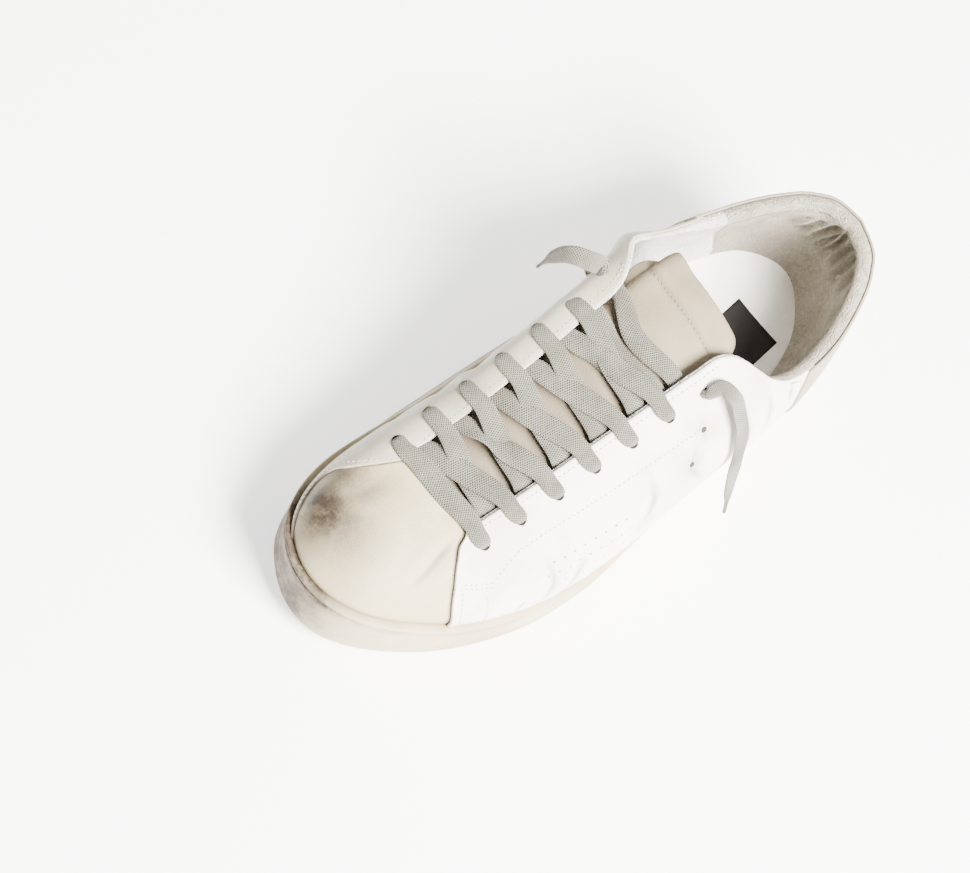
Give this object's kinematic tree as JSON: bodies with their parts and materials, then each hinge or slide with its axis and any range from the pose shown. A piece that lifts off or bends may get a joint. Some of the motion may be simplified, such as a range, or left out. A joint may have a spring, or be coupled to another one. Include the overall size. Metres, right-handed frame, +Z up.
{
  "type": "worn low leather sneaker, left foot",
  "caption": "Worn low-top leather lace-up sneaker with a rubber cup sole, flat cotton lace and open collar, standing empty.",
  "frame": {"origin": "on the floor under the middle of the sole's bounding box", "axes": "+Z up, +Y along the shoe towards the toe, +X towards the wearer's right, the medial side of this left shoe"},
  "size_m": [0.1333, 0.2955, 0.1029],
  "materials": {
    "cup_rubber": "matt, yellowed and soiled",
    "footbed": "flat woven cover",
    "quarter_leather": "worn smooth leather",
    "toe_leather": "worn and scuffed beige leather",
    "heel_leather": "worn grey leather",
    "tongue_leather": "worn beige leather",
    "lining_cloth": "worn padded cloth",
    "lace_cotton": "flat woven cotton",
    "stitch_thread": "twisted thread"
  },
  "bodies": {
    "root": {"sole": "cup_rubber", "insole": "footbed", "upper": "quarter_leather", "tongue": "tongue_leather", "lace_bar_1": "lace_cotton", "lace_bar_2": "lace_cotton", "lace_bar_3": "lace_cotton", "lace_crossing_2": "lace_cotton", "lace_crossing_3": "lace_cotton", "lace_crossing_4": "lace_cotton", "lace_crossing_5": "lace_cotton", "lace_crossing_6": "lace_cotton", "lace_end_lateral": "lace_cotton", "lace_end_medial": "lace_cotton"}
  },
  "joints": []
}
